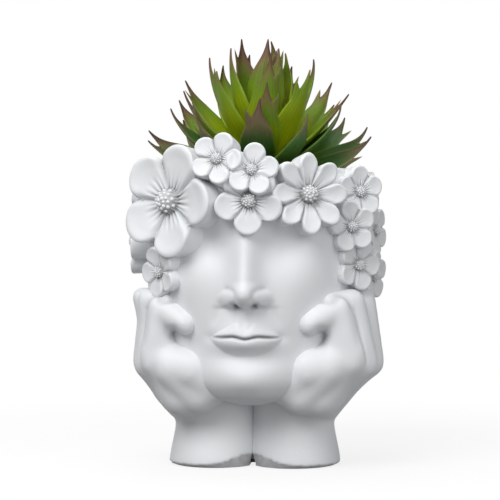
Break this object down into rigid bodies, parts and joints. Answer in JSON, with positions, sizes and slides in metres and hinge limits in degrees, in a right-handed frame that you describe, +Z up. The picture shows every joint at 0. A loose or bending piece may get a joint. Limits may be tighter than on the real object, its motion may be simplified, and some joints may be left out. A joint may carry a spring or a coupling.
{
  "type": "head planter",
  "caption": "Matte white planter shaped as a calm head resting in two hands, with a crown of flowers over the eyes and a faux agave pick in foam.",
  "frame": {"origin": "bottom centre of the whole part, on the surface that the two wrists stand on", "axes": "+Z up, -Y the way the face looks, +X to the right of someone facing it"},
  "size_m": [0.1448, 0.147, 0.2344],
  "materials": {
    "pot": "matte",
    "plug": "matte",
    "foam": "matte",
    "stem": "satin",
    "wire": "satin",
    "leaf_heart": "satin",
    "leaf_outer": "satin",
    "leaf_inner": "satin"
  },
  "bodies": {
    "pot": {"head_shell": "pot", "hand_left": "pot", "hand_right": "pot", "bloom_brow_left": "pot", "bloom_brow_middle": "pot", "bloom_temple_right": "pot", "bloom_brow_lower": "pot", "bloom_brow_right": "pot", "bloom_crown_right": "pot", "bloom_side_right": "pot", "bloom_ear_right": "pot", "bloom_cheek_right": "pot", "bloom_crown_left": "pot", "bloom_ear_left": "pot", "bloom_side_left": "pot", "bloom_crown_far_left": "pot", "bloom_back_right": "pot", "bloom_nape_right": "pot", "bloom_back_low_right": "pot", "bloom_back_middle": "pot", "bloom_back_lower": "pot", "bloom_back_left": "pot", "bloom_nape_left": "pot", "bloom_back_low_left": "pot"},
    "plug": {"drain_plug": "plug"},
    "foam": {"foam_block": "foam"},
    "plant": {"stem": "stem", "stem_wire": "wire", "leaf_core": "leaf_heart", "leaf_tier_1": "leaf_outer", "leaf_tier_2": "leaf_outer", "leaf_tier_3": "leaf_outer", "leaf_tier_4": "leaf_inner", "leaf_tier_5": "leaf_inner", "leaf_tier_6": "leaf_inner", "leaf_tier_7": "leaf_inner", "leaf_tier_8": "leaf_inner"}
  },
  "joints": [
    {"name": "foam_lift", "type": "slide", "parent": "pot", "child": "foam", "axis": [0, 0, 1], "range_m": [0, 0.12]},
    {"name": "plant_lift", "type": "slide", "parent": "foam", "child": "plant", "axis": [0, 0, 1], "range_m": [0, 0.1]},
    {"name": "plug_pull", "type": "slide", "parent": "pot", "child": "plug", "axis": [0, 0, -1], "range_m": [0, 0.02]}
  ]
}
